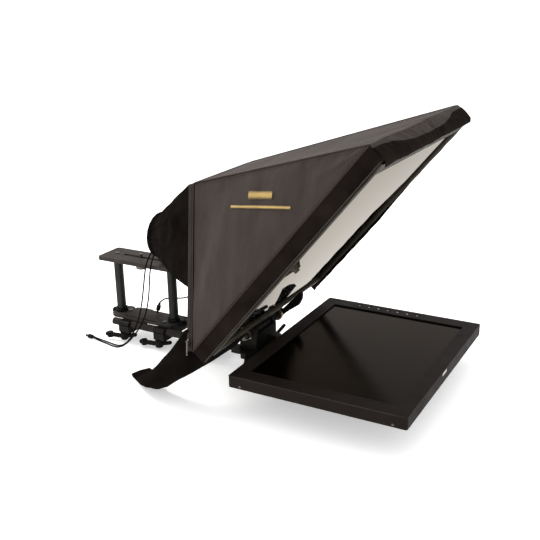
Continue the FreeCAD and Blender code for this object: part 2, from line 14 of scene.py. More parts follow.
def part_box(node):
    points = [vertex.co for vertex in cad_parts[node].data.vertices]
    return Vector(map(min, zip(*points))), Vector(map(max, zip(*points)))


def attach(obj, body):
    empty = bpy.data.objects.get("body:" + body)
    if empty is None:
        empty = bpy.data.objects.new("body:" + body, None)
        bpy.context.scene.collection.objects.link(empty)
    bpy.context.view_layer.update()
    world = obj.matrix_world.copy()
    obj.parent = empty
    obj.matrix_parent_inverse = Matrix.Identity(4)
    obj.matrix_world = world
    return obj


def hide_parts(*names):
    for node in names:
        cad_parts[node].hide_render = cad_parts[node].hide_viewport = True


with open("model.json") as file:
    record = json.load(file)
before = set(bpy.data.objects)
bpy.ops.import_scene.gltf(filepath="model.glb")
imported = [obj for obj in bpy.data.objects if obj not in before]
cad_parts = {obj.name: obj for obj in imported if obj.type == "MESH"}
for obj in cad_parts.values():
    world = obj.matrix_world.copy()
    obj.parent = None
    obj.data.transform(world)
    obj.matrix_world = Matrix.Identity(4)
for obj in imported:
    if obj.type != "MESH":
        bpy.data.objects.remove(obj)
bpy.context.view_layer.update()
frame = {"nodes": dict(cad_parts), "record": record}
V = Vector
MM = 0.001


def extreme(node, *direction):
    """The corner of a CAD node that lies farthest along a direction."""
    way = V(direction)
    return max((v.co.copy() for v in frame["nodes"][node].data.vertices), key=lambda p: p.dot(way))


# ---------------------------------------------------------------- camera
AZIMUTH, ELEVATION, ROLL = radians(29.18), radians(19.26), radians(-1.02)
CAMERA_PLACE = V((0.725, -1.263, 0.704))
SENSOR_WIDTH, FOCAL_LENGTH = 36.0, 54.6      # millimetres


def add_camera():
    right = V((cos(AZIMUTH), sin(AZIMUTH), 0))
    back = V((sin(AZIMUTH) * cos(ELEVATION), -cos(AZIMUTH) * cos(ELEVATION), sin(ELEVATION)))
    up = back.cross(right)
    rolled_right = right * cos(ROLL) + up * sin(ROLL)
    rolled_up = up * cos(ROLL) - right * sin(ROLL)
    data = bpy.data.cameras.new("camera")
    data.sensor_width, data.lens = SENSOR_WIDTH, FOCAL_LENGTH
    data.clip_start, data.clip_end = 0.05, 50
    camera = bpy.data.objects.new("camera", data)
    bpy.context.collection.objects.link(camera)
    matrix = Matrix((rolled_right, rolled_up, back)).transposed().to_4x4()
    matrix.translation = CAMERA_PLACE
    camera.matrix_world = matrix
    bpy.context.scene.camera = camera


# ---------------------------------------------------------------- node materials
BANDS_PER_UNIT = 0.314          # wave texture scale that gives one band each metre


class Paint:
    """Builds one Principled material node by node."""

    def __init__(self, name, color, roughness, metallic=0.0, specular=0.5):
        self.material = bpy.data.materials.new(name)
        self.material.use_nodes = True
        self.tree = self.material.node_tree
        self.shader = self.tree.nodes["Principled BSDF"]
        self.color = color
        self.set("Base Color", (*color, 1))
        self.set("Roughness", roughness)
        self.set("Metallic", metallic)
        self.set("Specular IOR Level", specular)
        self.place = self.node("ShaderNodeTexCoord").outputs["Object"]
        self.height = None

    def set(self, socket, value):
        self.shader.inputs[socket].default_value = value

    def node(self, kind, **settings):
        node = self.tree.nodes.new(kind)
        for name, value in settings.items():
            if name in node.inputs:
                node.inputs[name].default_value = value
            else:
                setattr(node, name, value)
        return node

    def link(self, output, target):
        self.tree.links.new(output, target)

    def noise(self, scale, detail=3.0, stretch=(1, 1, 1), roughness=0.55):
        mapping = self.node("ShaderNodeMapping")
        mapping.inputs["Scale"].default_value = stretch
        self.link(self.place, mapping.inputs["Vector"])
        texture = self.node("ShaderNodeTexNoise", Scale=scale, Detail=detail, Roughness=roughness)
        self.link(mapping.outputs["Vector"], texture.inputs["Vector"])
        return texture.outputs["Fac"]

    def threads(self, pitch, axis):
        """Fine parallel threads, pitch metres apart, counted along one axis."""
        texture = self.node("ShaderNodeTexWave", bands_direction=axis, Scale=BANDS_PER_UNIT / pitch,
                            Distortion=0.4)
        self.link(self.place, texture.inputs["Vector"])
        return texture.outputs["Fac"]

    def ramp(self, value, stops):
        ramp = self.node("ShaderNodeValToRGB")
        elements = ramp.color_ramp.elements
        while len(elements) < len(stops):
            elements.new(0.5)
        for element, (position, shade) in zip(elements, stops):
            element.position = position
            element.color = (*shade, 1) if hasattr(shade, "__len__") else (shade, shade, shade, 1)
        self.link(value, ramp.inputs["Fac"])
        return ramp.outputs["Color"]

    def mottle(self, scale, spread, detail=4.0, stretch=(1, 1, 1)):
        """Colour that wanders a little round the base colour."""
        dark = tuple(c * (1 - spread) for c in self.color)
        light = tuple(c * (1 + spread) for c in self.color)
        shade = self.ramp(self.noise(scale, detail, stretch), [(0.32, dark), (0.68, light)])
        self.link(shade, self.shader.inputs["Base Color"])
        return self

    def rough_between(self, scale, low, high, stretch=(1, 1, 1)):
        self.link(self.ramp(self.noise(scale, 4.0, stretch), [(0.3, low), (0.7, high)]),
                  self.shader.inputs["Roughness"])
        return self

    def bump(self, value, depth, strength=1.0):
        """Adds a layer of relief, depth metres high, over the ones before."""
        node = self.node("ShaderNodeBump", Strength=strength, Distance=depth)
        self.link(value, node.inputs["Height"])
        if self.height:
            self.link(self.height, node.inputs["Normal"])
        self.height = node.outputs["Normal"]
        self.link(self.height, self.shader.inputs["Normal"])
        return self


def woven(name, color, pitch, roughness=0.7, sheen=0.1, spread=0.16, relief=0.12 * MM, folds=0):
    """Cloth with a visible weave, soft colour drift and small creases."""
    paint = Paint(name, color, roughness, specular=0.12)
    paint.set("Sheen Weight", sheen)
    paint.set("Sheen Roughness", 0.45)
    paint.mottle(14, spread)
    for axis in "XYZ":
        paint.bump(paint.threads(pitch, axis), relief, 0.5)
    paint.bump(paint.noise(60, 5.0), 0.8 * MM, 0.35)
    if folds:
        paint.bump(paint.noise(6, 2.5, (1.8, 1, 0.45)), folds, 0.7)
    return paint.material


def velvet(name, color, sheen):
    """Black napped cloth: no shine, a soft glow at grazing angles and a brushed pile."""
    paint = Paint(name, color, 0.95, specular=0.0)
    paint.set("Sheen Weight", sheen)
    paint.set("Sheen Roughness", 0.35)
    paint.set("Sheen Tint", (0.55, 0.5, 0.48, 1))
    paint.mottle(22, 0.35)
    paint.bump(paint.noise(900, 2.0), 0.25 * MM, 0.6)
    paint.bump(paint.noise(45, 4.0), 1.2 * MM, 0.4)
    return paint.material


def anodised(name, color, roughness=0.34, metallic=0.55, grain=(1, 1, 1)):
    """Black or grey anodised aluminium with a fine machined grain."""
    paint = Paint(name, color, roughness, metallic, specular=0.06)
    paint.set("Specular Tint", (0.14, 0.135, 0.13, 1))
    paint.mottle(30, 0.2)
    paint.rough_between(70, roughness - 0.07, roughness + 0.1, grain)
    paint.bump(paint.noise(900, 2.0, grain), 0.05 * MM, 0.35)
    return paint.material


def moulded(name, color, roughness, grain=0.9 * MM, relief=0.06 * MM):
    """Moulded plastic with a spark-eroded grain and handling marks."""
    paint = Paint(name, color, roughness, specular=0.04)
    paint.mottle(9, 0.14)
    paint.rough_between(26, roughness - 0.05, roughness + 0.07)
    paint.bump(paint.noise(1.0 / grain, 2.0), relief, 0.5)
    return paint.material


def bright_metal(name, color, roughness):
    paint = Paint(name, color, roughness, metallic=1.0)
    paint.mottle(40, 0.12)
    paint.rough_between(120, roughness - 0.05, roughness + 0.12)
    paint.bump(paint.noise(1400, 2.0), 0.03 * MM, 0.4)
    return paint.material


def screen_material():
    """Anti-glare screen: nearly black, a broad warm reflection."""
    paint = Paint("screen", (0.0075, 0.0062, 0.0052), 0.15, metallic=1.0)
    paint.set("Specular Tint", (0.71, 0.68, 0.66, 1))
    paint.mottle(3, 0.1)
    paint.rough_between(5, 0.13, 0.19)
    return paint.material


def beamsplitter_material():
    """Half-silvered glass: a warm grey mirror that lets a little light through."""
    paint = Paint("beamsplitter", (0.36, 0.335, 0.30), 0.02, metallic=1.0)
    paint.set("Specular Tint", (0.40, 0.375, 0.335, 1))
    paint.mottle(2.5, 0.02)
    paint.rough_between(4, 0.01, 0.03)
    paint.set("Alpha", 0.94)
    return paint.material


def elastic_material():
    paint = Paint("elastic_cord", (0.0055, 0.005, 0.005), 0.8, specular=0.05)
    paint.mottle(120, 0.4)
    paint.bump(paint.threads(0.9 * MM, "DIAGONAL"), 0.3 * MM, 0.8)
    return paint.material


def circuit_material():
    paint = Paint("circuit_board", (0.02, 0.07, 0.035), 0.4)
    paint.mottle(160, 0.5)
    paint.bump(paint.noise(300, 3.0), 0.2 * MM, 0.5)
    return paint.material


PAINTS = {
    "hood_fabric": woven("hood_fabric", (0.037, 0.0270, 0.0232), 0.7 * MM, 0.66, 0.0, 0.12,
                         relief=0.12 * MM, folds=34 * MM),
    "hem_fabric": velvet("hem_fabric", (0.0125, 0.0092, 0.0078), 0.03),
    "sock_fabric": velvet("sock_fabric", (0.0058, 0.0045, 0.0040), 0.02),
    "zip_tape": woven("zip_tape", (0.026, 0.020, 0.018), 1.1 * MM, 0.8, 0.0),
    "zip_metal": bright_metal("zip_metal", (0.13, 0.115, 0.10), 0.4),
    "cord_black": elastic_material(),
    "black_anodised": anodised("black_anodised", (0.016, 0.015, 0.014)),
    "frame_bronze": anodised("frame_bronze", (0.060, 0.053, 0.043), 0.45, 0.4),
    "rod_finish": anodised("rod_finish", (0.030, 0.026, 0.024), 0.5, 0.3, (0.05, 1, 1)),
    "post_finish": anodised("post_finish", (0.030, 0.032, 0.029), 0.30, 0.5, (1, 1, 0.05)),
    "deck_finish": anodised("deck_finish", (0.046, 0.040, 0.037), 0.5, 0.3, (0.06, 1, 1)),
    "lever_black": moulded("lever_black", (0.008, 0.0072, 0.0066), 0.42),
    "zinc_screw": bright_metal("zinc_screw", (0.12, 0.11, 0.10), 0.35),
    "steel": bright_metal("steel", (0.14, 0.13, 0.12), 0.34),
    "brass_ring": bright_metal("brass_ring", (0.62, 0.50, 0.30), 0.30),
    "monitor_plastic": moulded("monitor_plastic", (0.0135, 0.0098, 0.0082), 0.5),
    "screen_glass": screen_material(),
    "circuit_board": circuit_material(),
    "beamsplitter": beamsplitter_material(),
}
LINING = woven("hood_lining", (0.010, 0.009, 0.0085), 0.8 * MM, 0.85, 0.05)
THREAD = woven("stitch_thread", (0.085, 0.074, 0.070), 0.3 * MM, 0.6, 0.2)
GOLD_THREAD = woven("gold_thread", (0.80, 0.56, 0.20), 0.45 * MM, 0.45, 0.3, 0.2, 0.3 * MM)
# Lighter cloth for the hem's fold ridge: a painted highlight where the fold catches the light
FOLD_HIGHLIGHT_CLOTH = woven("hem_fold_highlight", (0.030, 0.025, 0.021), 0.9 * MM, 0.6, 0.1)
PRINT = moulded("grey_print", (0.50, 0.48, 0.45), 0.5)


def paint_cad_nodes():
    for part in frame["record"]["subparts"]:
        for material_slot in frame["nodes"][part["node"]].material_slots:
            material_slot.material = PAINTS[part["material_slot"]]


# ---------------------------------------------------------------- mesh building
def add_mesh(name, points, faces, material, body, smooth=True):
    mesh = bpy.data.meshes.new(name)
    mesh.from_pydata([tuple(p) for p in points], [], faces)
    mesh.validate()
    mesh.materials.append(material)
    for polygon in mesh.polygons:
        polygon.use_smooth = smooth
    piece = bpy.data.objects.new(name, mesh)
    bpy.context.collection.objects.link(piece)
    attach(piece, body)
    return piece


def grid_faces(rows, cols, wrap=False):
    """Quads over (rows + 1) lines of points; wrap joins the last column to the first."""
    width = cols if wrap else cols + 1
    faces = []
    for i in range(rows):
        for j in range(cols):
            k = (j + 1) % width
            faces.append((i * width + j, i * width + k, (i + 1) * width + k, (i + 1) * width + j))
    return faces


def grid(name, rows, cols, place, material, body, wrap=False):
    """A sheet whose points are place(row fraction, column fraction)."""
    width = cols if wrap else cols + 1
    points = [place(i / rows, j / cols) for i in range(rows + 1) for j in range(width)]
    return add_mesh(name, points, grid_faces(rows, cols, wrap), material, body)


def thicken(piece, thickness, offset=-1.0, back=None):
    """Gives a sheet its thickness; back is the material of its other side."""
    solid = piece.modifiers.new("thickness", "SOLIDIFY")
    solid.thickness, solid.offset = thickness, offset
    solid.use_even_offset = True
    if back:
        piece.data.materials.append(back)
        solid.material_offset = 1
    return piece


def square_to(direction):
    """A unit vector square to a direction."""
    helper = V((0, 0, 1)) if abs(direction.z) < 0.9 else V((1, 0, 0))
    return direction.cross(helper).normalized()


def ring_tube(path, radius, sides=8):
    """Points and faces of a tube with domed ends along a polyline."""
    points, faces = [], []
    first = square_to((path[1] - path[0]).normalized())
    for k, centre in enumerate(path):
        ahead = (path[min(k + 1, len(path) - 1)] - path[max(k - 1, 0)]).normalized()
        first = (first - ahead * first.dot(ahead)).normalized()
        second = ahead.cross(first)
        size = radius * (0.55 if k in (0, len(path) - 1) else 1.0)
        for s in range(sides):
            turn = 2 * pi * s / sides
            points.append(centre + first * (size * cos(turn)) + second * (size * sin(turn)))
    faces = grid_faces(len(path) - 1, sides, wrap=True)
    faces.append(tuple(range(sides))[::-1])
    faces.append(tuple(range(len(points) - sides, len(points))))
    return points, faces


def piping(name, path, radius, material, body):
    points, faces = ring_tube(path, radius)
    return add_mesh(name, points, faces, material, body)


def line(start, end, count):
    return [start.lerp(end, k / count) for k in range(count + 1)]


def walk(path, pitch):
    """Places and headings every pitch metres along a polyline."""
    places, left = [], pitch / 2
    for a, b in zip(path, path[1:]):
        run = (b - a).length
        while left < run:
            places.append((a.lerp(b, left / run), (b - a) / run))
            left += pitch
        left -= run
    return places


def beads(name, spots, sizes, material, body):
    """Many small rounded lumps in one piece: spots are (place, heading, outward)."""
    length, width, lift = sizes
    points, faces = [], []
    for place, heading, out in spots:
        across = heading.cross(out).normalized()
        start = len(points)
        points += [place - heading * length / 2, place + heading * length / 2]
        points += [place + across * width / 2, place - across * width / 2]
        points += [place + out * lift, place - out * lift * 0.3]
        for a, b in ((2, 4), (4, 3), (3, 5), (5, 2)):
            faces += [(start + 1, start + a, start + b), (start, start + b, start + a)]
    return add_mesh(name, points, faces, material, body)


def stitches(name, paths, body, pitch=3.2 * MM, material=THREAD):
    """Rows of thread; each path is (points, outward direction)."""
    spots = []
    for path, out in paths:
        spots += [(place, heading, out) for place, heading in walk(path, pitch)]
    return beads(name, spots, (pitch * 0.72, 0.75 * MM, 0.45 * MM), material, body)


def wander(point, scale, seed):
    """Smooth noise from -1 to 1."""
    return noise.noise(point * scale + V((seed * 7.1, seed * 3.3, seed * 5.7)))


def mirror_y(point):
    return V((point.x, -point.y, point.z))


# ---------------------------------------------------------------- cords
CORD_RADIUS = 1.5 * MM
ROUTES = {                      # millimetres, from the fixed end to the lock
    "sock_cord_a": [
        (-225, -38.4, 210.5), (-229, -44.5, 199), (-234, -47.5, 184), (-238, -48.5, 163), (-242, -50, 136),
        (-247, -51, 106), (-255, -52, 76), (-266, -54, 47), (-279, -57, 22), (-292, -60, 7.5), (-306, -62, 1.8),
        (-324, -61, 1.7), (-342, -57, 1.7), (-360, -54.5, 1.7), (-375.5, -54.4, 3.7)],
    "sock_cord_b": [
        (-224, -32.2, 203.1), (-225.5, -37.5, 193), (-228, -41, 178), (-230, -43.5, 158), (-231, -46, 132),
        (-235, -48, 103), (-243, -50, 74), (-256, -54, 48), (-272, -59, 26), (-287, -65, 9.5), (-301, -69, 2.0),
        (-320, -69, 1.7), (-339, -64, 1.7), (-358, -60.5, 1.7), (-375.5, -57.7, 3.7)],
    "tether_cord": [
        (-191, 22, 176), (-181, 23, 175.5), (-170, 25, 168), (-163, 27, 153), (-162, 27.5, 135),
        (-168, 26, 117), (-180, 22.5, 104), (-196, 18, 98.5), (-212, 14.8, 97), (-228, 14, 94.5),
        (-243, 14.6, 90), (-253.6, 15.6, 80)],
}
CORDS = {                       # body, length in metres, lock at the far end
    "sock_cord_a": ("glass_frame", 0.304, "cord_lock_sock"),
    "sock_cord_b": ("glass_frame", 0.304, "cord_lock_sock"),
    "tether_cord": ("riser", 0.174, "cord_lock_tether"),
}


def add_cord(name):
    body, length, lock = CORDS[name]
    route = [V(p) * MM for p in ROUTES[name]]
    curve = bpy.data.curves.new(name + "_line", "CURVE")
    curve.dimensions = "3D"
    spline = curve.splines.new("NURBS")
    spline.points.add(len(route) - 1)
    for point, place in zip(spline.points, route):
        point.co = (*place, 1)
    spline.order_u = 3
    spline.use_endpoint_u = True
    spline.resolution_u = 8
    curve.bevel_depth = CORD_RADIUS
    curve.bevel_resolution = 3
    curve.use_fill_caps = True
    curve.materials.append(PAINTS["cord_black"])
    piece = bpy.data.objects.new(name + "_line", curve)
    bpy.context.collection.objects.link(piece)
    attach(piece, body)
    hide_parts(name)
    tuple(route[0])


# ---------------------------------------------------------------- hood geometry
REAR = extreme("hood_side_left", -1, 0.3, 0.2)     # narrow rear top corner, outer face
TOP = extreme("hood_side_left", 0.6, 0.3, 1)       # front top corner
LOW = extreme("hood_side_left", 0, 0.3, -1)        # foot of the rear edge
UP_GLASS = (TOP - LOW).normalized()
OUT_GLASS = V((UP_GLASS.z, 0, -UP_GLASS.x))        # out of the glass's front face
SIDE_OUT = (LOW - REAR).cross(TOP - REAR).normalized()
if SIDE_OUT.y < 0:
    SIDE_OUT = -SIDE_OUT
ALONG_REAR = (LOW - REAR).normalized()
REARWARD = (ALONG_REAR * (TOP - REAR).dot(ALONG_REAR) - (TOP - REAR)).normalized()
HEM_LENGTH = (TOP - LOW).length
HALF = TOP.y
ZIP_WIDTH = 17 * MM
HEM_BACK = 29 * MM              # from the sewn seam forward to the glass frame's front
HEM_TURN = 3.0 * MM             # radius at which the side bands turn in
TOP_LIP = 39 * MM               # depth of the lip over the top rail
LIP_FLAT = 30 * MM              # where that lip starts to fold down
CLOTH = 1.3 * MM                # thickness of the hood's panels


def by_side(side, point):
    return point if side == "left" else mirror_y(point)


def hem_point(along, forward, out=0.0):
    """On the left side's hem: up the glass, out of it, and away from the middle."""
    return LOW + UP_GLASS * along + OUT_GLASS * forward + V((0, out, 0))


# ---------------------------------------------------------------- hood panels
def hood_side(side):
    """One three-cornered panel, drawn tight at its seams and full between them."""
    seed = 1 if side == "left" else 2

    def place(p, q):
        along = p * 0.998
        top_point, low_point = REAR.lerp(TOP, along), LOW.lerp(TOP, along)
        point = top_point.lerp(low_point, q)
        to_front, to_low = along, (1 - along) * q
        to_rear = 1 - to_front - to_low
        inside = min(1.0, 27 * to_front * to_low * to_rear)
        near_edge = min(1.0, 9 * min(to_front + 0.02, to_low + 0.02, to_rear + 0.02))
        crown = 3.0 * inside
        drape = 6.5 * near_edge * wander(V((point.x * 15 - point.z * 5, point.z * 2.5, 0)), 1, seed)
        drape += 1.3 * near_edge * wander(V((point.x * 30 + point.z * 22, point.z * 9, 0)), 1, seed + 4)
        below_top = (1 - along) * q * (LOW - REAR).length
        pucker = 0.45 * exp(-below_top / 0.018) * sin(q * 9 + along * 70)
        pucker *= min(1, 12 * q) * min(1, 8 * (1 - along))
        fan = 1.1 * near_edge * along * wander(V((q * 6, along * 1.5, 3)), 1, seed + 9)
        return by_side(side, point + SIDE_OUT * ((crown + drape + pucker + fan) * MM))

    panel = grid("hood_panel_" + side, 110, 90, place, PAINTS["hood_fabric"], "glass_frame")
    if side == "left":
        panel.data.flip_normals()
    thicken(panel, CLOTH, -1.0, LINING)
    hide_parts("hood_side_" + side)
    return panel


def hood_top():
    rear_edge = mirror_y(REAR) - REAR
    front_edge = mirror_y(TOP) - TOP
    run = TOP - REAR
    up = V((-run.z, 0, run.x)).normalized()

    def place(p, q):
        point = (REAR + rear_edge * q).lerp(TOP + front_edge * q, p)
        across = sin(pi * q)
        sag = -5.5 * across * sin(pi * min(1, p * 1.04))
        folds = 2.6 * wander(V((point.x * 5, point.y * 13, 0)), 1, 21) * min(1, 7 * q, 7 * (1 - q))
        front = exp(-(1 - p) * run.length / 0.035)
        pucker = 2.2 * front * wander(V((point.x * 30, point.y * 42, 0)), 1, 24)
        ends = min(1, 25 * p + 0.1) * min(1, 25 * (1 - p) + 0.15)
        return point + up * ((sag + folds + pucker) * ends * MM)

    panel = grid("hood_panel_top", 90, 90, place, PAINTS["hood_fabric"], "glass_frame")
    thicken(panel, CLOTH, -1.0, LINING)
    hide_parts("hood_top")
    flat_length = (V((TOP.x, 0, TOP.z)) - V((REAR.x, 0, REAR.z))).length


def smooth_step(value, start, end):
    t = min(1.0, max(0.0, (value - start) / (end - start)))
    return t * t * (3 - 2 * t)


def hem_front(side, along):
    """How far the band's edge stands past the seam; the far lip is deeper at its foot."""
    if side == "right":
        return HEM_BACK + 2.0 * MM
    return HEM_BACK + (9.4 - 4.6 * smooth_step(along, 0.20, 0.34)) * MM


def hem_side(side):
    """The black band that wraps the frame's edge from the sewn seam to the glass."""

    def place(p, q):
        along = HEM_LENGTH * p
        front = hem_front(side, along) + 0.8 * MM * wander(V((along * 40, 0, 2)), 1, 34)
        if side == "left":
            front += 2.5 * MM * wander(V((along * 150, 0, 5)), 1, 35) * (1 - smooth_step(along, 0.0, 0.03))
        reach = q * (front + HEM_TURN)
        ripple = 1.6 * wander(V((along * 22, reach * 30, 0)), 1, 31) * min(1, 6 * q)
        ripple += 1.4 * wander(V((along * 60, reach * 60, 0)), 1, 33) * min(1, 6 * q)
        if reach < front - HEM_TURN:
            forward, out = reach, 0.0
        else:
            turn = min(1.0, (reach - front + HEM_TURN) / (2 * HEM_TURN)) * pi / 2
            forward = front - HEM_TURN + HEM_TURN * sin(turn)
            out = -3.4 * MM * (1 - cos(turn))
        return by_side(side, hem_point(along, forward, out + (ripple + 0.8) * 0.4 * MM))

    band = grid("hood_hem_" + side, 180, 24, place, PAINTS["hem_fabric"], "glass_frame")
    thicken(band, 1.0 * MM, 1.0 if side == "left" else -1.0)
    seam = [by_side(side, hem_point(a, 1.0 * MM, 0.9 * MM)) for a in (HEM_LENGTH * k / 80 for k in range(81))]
    piping("hem_seam_" + side, seam, 1.3 * MM, PAINTS["hood_fabric"], "glass_frame")
    # The band's rolled fold is real, but its piping is coloured lighter than the band: a painted highlight on
    # the ridge
    fold = []
    for k in range(1, 120):
        a = HEM_LENGTH * k / 120
        lift = 0.4 * MM + 0.3 * MM * wander(V((a * 30, 0, 0)), 1, 36)
        fold.append(by_side(side, hem_point(a, hem_front(side, a) - 2.6 * MM, lift)))
    piping("hem_fold_" + side, fold, 1.1 * MM, FOLD_HIGHLIGHT_CLOTH, "glass_frame")
    return band


def top_seam(y):
    """How far forward the light top cloth reaches before the black band starts."""
    shape = smooth_step(abs(y), 0.055, 0.185)
    return (22.5 - 15.5 * shape) * MM + 1.6 * MM * wander(V((y * 26, 0, 0)), 1, 46)


def top_lip(y, reach):
    """A point on the rumpled lip, reach metres forward of the top seam."""
    q = reach / TOP_LIP
    p = 0.5 - y / (2 * HALF)
    rumple = 2.6 * wander(V((y * 34 + reach * 25, reach * 55, 0)), 1, 41)
    rumple += 1.5 * wander(V((y * 95 - reach * 60, reach * 40, 0)), 1, 43)
    rumple -= 3.2 * exp(-((y - 0.035 + 0.5 * reach) / 0.006) ** 2) * sin(pi * min(1, q))
    edge = min(1, 7 * q + 0.15) * min(1, 14 * p + 0.15, 14 * (1 - p) + 0.15)
    fold = min(1.0, max(0.0, (reach - LIP_FLAT) / (TOP_LIP - LIP_FLAT)))
    point = TOP + OUT_GLASS * (reach - 1.5 * MM * fold) - UP_GLASS * (7 * MM * fold * fold)
    crown = 1.6 * MM * sin(pi * min(1.0, reach / LIP_FLAT))
    return V((point.x, y, point.z)) + UP_GLASS * (crown + rumple * edge * 0.75 * MM) \
        + OUT_GLASS * (1.1 * MM * q * wander(V((y * 28, 0, 0)), 1, 45))


def hem_top():
    """Over the top of the frame: the light cloth's front, then the black band with a rumpled lip."""
    def cloth(p, q):
        y = HALF * (1 - 2 * p)
        return top_lip(y, q * (top_seam(y) + 1.0 * MM))

    def black(p, q):
        y = HALF * (1 - 2 * p)
        start = top_seam(y)
        return top_lip(y, start + q * (TOP_LIP - start)) + UP_GLASS * (0.5 * MM)

    front = grid("hood_top_front", 170, 16, cloth, PAINTS["hood_fabric"], "glass_frame")
    thicken(front, 1.2 * MM, 1.0)
    band = grid("hood_hem_top", 170, 22, black, PAINTS["hem_fabric"], "glass_frame")
    thicken(band, 1.2 * MM, 1.0)
    return band


def hood_hem():
    bands = [hem_side("left"), hem_side("right"), hem_top()]
    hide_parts("hood_hem")


def hood_seams():
    """Rolled seams and rows of stitches."""
    pipes, rows = [], []
    for side in ("left", "right"):
        out = by_side(side, SIDE_OUT)
        rear, top, low = (by_side(side, p) for p in (REAR, TOP, LOW))
        lift = out * 0.6 * MM
        pipes.append(("seam_top_" + side, [p + lift for p in line(rear, top, 60)], 1.1 * MM))
        piping("seam_rear_" + side, [p + lift * 0.2 for p in line(rear, low, 40)], 0.8 * MM,
               PAINTS["sock_fabric"], "glass_frame")
        inward = by_side(side, -REARWARD)
        front_in = by_side(side, (REAR - TOP).cross(SIDE_OUT)).normalized()
        if front_in.dot(low - top) < 0:
            front_in = -front_in
        hem_in = (out.cross(top - low)).normalized()
        if hem_in.dot(rear - low) < 0:
            hem_in = -hem_in
        bulge = out * 0.9 * MM
        for inset, shift, a, b, start, end, count in (
                (hem_in, 3.0, low, top, 0.02, 0.97, 90), (hem_in, 6.2, low, top, 0.03, 0.96, 90),
                (inward, 4, rear, low, 0.03, 0.96, 60), (front_in, 4, rear, top, 0.03, 0.93, 60)):
            row = line(a.lerp(b, start), a.lerp(b, end), count)
            rows.append(([p + inset * shift * MM + bulge for p in row], out))
    pipes.append(("seam_rear_top", line(REAR, mirror_y(REAR), 30), 1.2 * MM))
    for name, path, radius in pipes:
        piping(name, path, radius, PAINTS["hood_fabric"], "glass_frame")
    stitches("hood_stitches", rows, "glass_frame")
    ladder = []
    for side in ("left", "right"):
        path = [by_side(side, hem_point(a, 0.6 * MM, 2.3 * MM)) for a in (0.004, HEM_LENGTH - 0.008)]
        across = by_side(side, OUT_GLASS)
        ladder += [(place, across, by_side(side, V((0, 1, 0)))) for place, _ in walk(path, 3.6 * MM)]
    beads("seam_ladder", ladder, (5.5 * MM, 1.0 * MM, 0.5 * MM), PAINTS["hem_fabric"], "glass_frame")


# ---------------------------------------------------------------- zips
def rear_edge(fraction, out=0.0):
    return REAR.lerp(LOW, fraction) + REARWARD * out


def zip_tape(side):
    def place(p, q):
        point = rear_edge(p, q * ZIP_WIDTH)
        ripple = 0.25 * MM * wander(V((p * 40, q * 2, 0)), 1, 51)
        ridge = 0.2 * MM * exp(-((q - 0.45) / 0.16) ** 2)
        return by_side(side, point + SIDE_OUT * (ripple * q + ridge - 0.2 * MM))

    tape = grid("zip_tape_" + side, 90, 14, place, PAINTS["zip_tape"], "glass_frame")
    thicken(tape, 1.1 * MM, -1.0 if side == "right" else 1.0)
    return tape


TEETH_PITCH = 2.1 * MM


def zip_teeth(side):
    """Two rows of coil teeth that mesh down the middle of the tape."""
    out = by_side(side, SIDE_OUT)
    spots = []
    for row, shift in ((0.38, 0.0), (0.52, 0.5)):
        path = [by_side(side, rear_edge(f, ZIP_WIDTH * row) + SIDE_OUT * 0.1 * MM) for f in (0.015, 0.985)]
        heading = (path[1] - path[0]).normalized()
        across = heading.cross(out).normalized()
        for place, _ in walk([path[0] + heading * shift * TEETH_PITCH, path[1]], TEETH_PITCH):
            spots.append((place, across, out))
    beads("zip_teeth_" + side, spots, (2.9 * MM, 1.5 * MM, 0.35 * MM), PAINTS["zip_tape"],
          "glass_frame")


def zips():
    tapes = [zip_tape(side) for side in ("left", "right")]
    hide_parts("zip_tapes")
    for side, tape in zip(("left", "right"), tapes):
        zip_teeth(side)
    rows = []
    for side in ("left", "right"):
        out = by_side(side, SIDE_OUT)
        for offset in (0.12, 0.84):
            path = [by_side(side, rear_edge(f, ZIP_WIDTH * offset) + SIDE_OUT * 0.1 * MM) for f in (0.01, 0.99)]
            rows.append((path, out))
    stitches("zip_stitches", rows, "glass_frame", 2.8 * MM)


# ---------------------------------------------------------------- sock
SOCK_FRACTION = 0.62                # of the rear edge, from the top, that the sock is zipped to
COLLAR_LOW, COLLAR_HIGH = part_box("sock_collar")
LENS = (V(COLLAR_LOW) + V(COLLAR_HIGH)) / 2
COLLAR_RADIUS = (COLLAR_HIGH[2] - COLLAR_LOW[2]) / 2
LENS_RADIUS = 42 * MM
GATHER_RADIUS = (COLLAR_RADIUS + LENS_RADIUS) / 2
FREE_ANGLE = radians(34)            # how far below the lens's level the sock's free edges go


def sock_outline(t):
    """Where the sock leaves the hood: up the left zip, over the top, down the right zip."""
    top, low = rear_edge(0.0, ZIP_WIDTH), rear_edge(SOCK_FRACTION, ZIP_WIDTH)
    across = 2 * top.y
    length = 2 * (low - top).length + across
    at = t * length
    side = (low - top).length
    if at < side:
        return low.lerp(top, at / side)
    if at > side + across:
        return mirror_y(low.lerp(top, (length - at) / side))
    joined = min(1.0, 12 * (at - side) / across, 12 * (length - side - at) / across)
    return V((top.x, top.y - (at - side), top.z)) + V((REAR.x - top.x + 1.5 * MM, 0, REAR.z - top.z)) * joined


